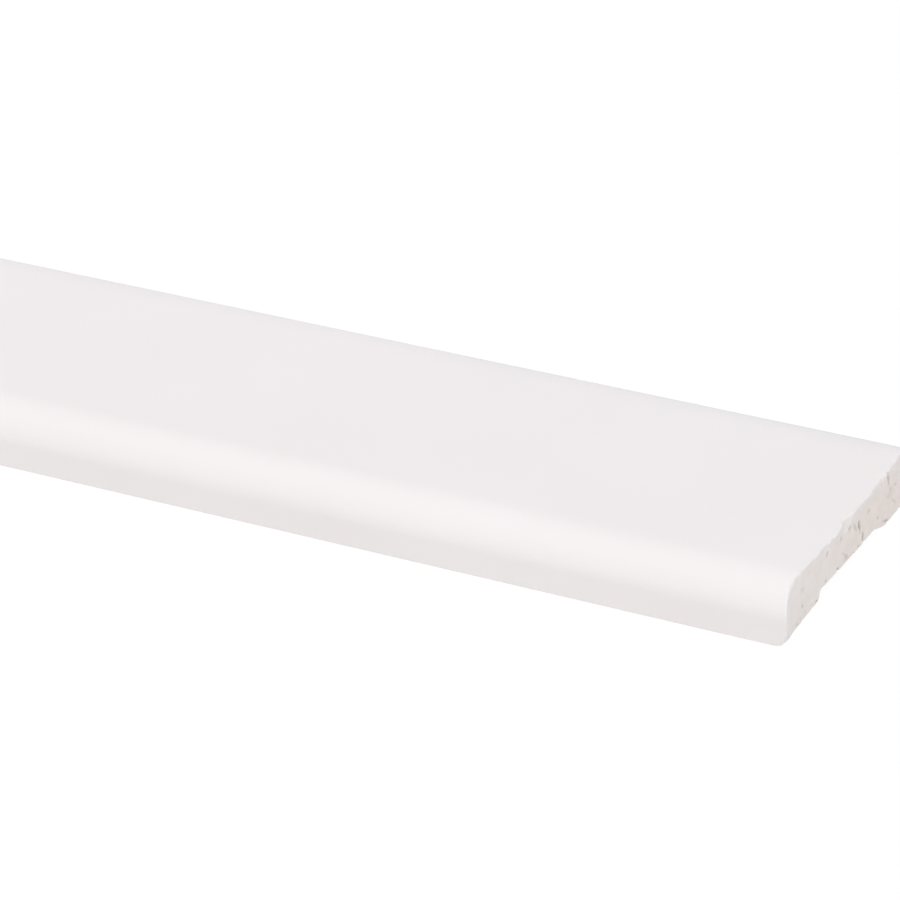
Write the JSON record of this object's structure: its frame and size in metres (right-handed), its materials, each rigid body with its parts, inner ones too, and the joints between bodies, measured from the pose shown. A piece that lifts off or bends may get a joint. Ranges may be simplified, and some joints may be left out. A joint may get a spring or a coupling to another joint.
{
  "type": "flat cover strip",
  "caption": "Long flat white cover strip with a rounded front edge, a square eased back edge and a shallow relief along its back, for covering joints and trimming openings.",
  "frame": {"origin": "under the middle of the strip's length and width, on the plane that its two feet stand on", "axes": "+X along the strip, +Y from the rounded front edge to the square back edge, +Z from the back up through the face"},
  "size_m": [2.4, 0.068, 0.012],
  "materials": {
    "white_coat": "satin"
  },
  "bodies": {
    "root": {"cover_strip": "white_coat"}
  },
  "joints": []
}
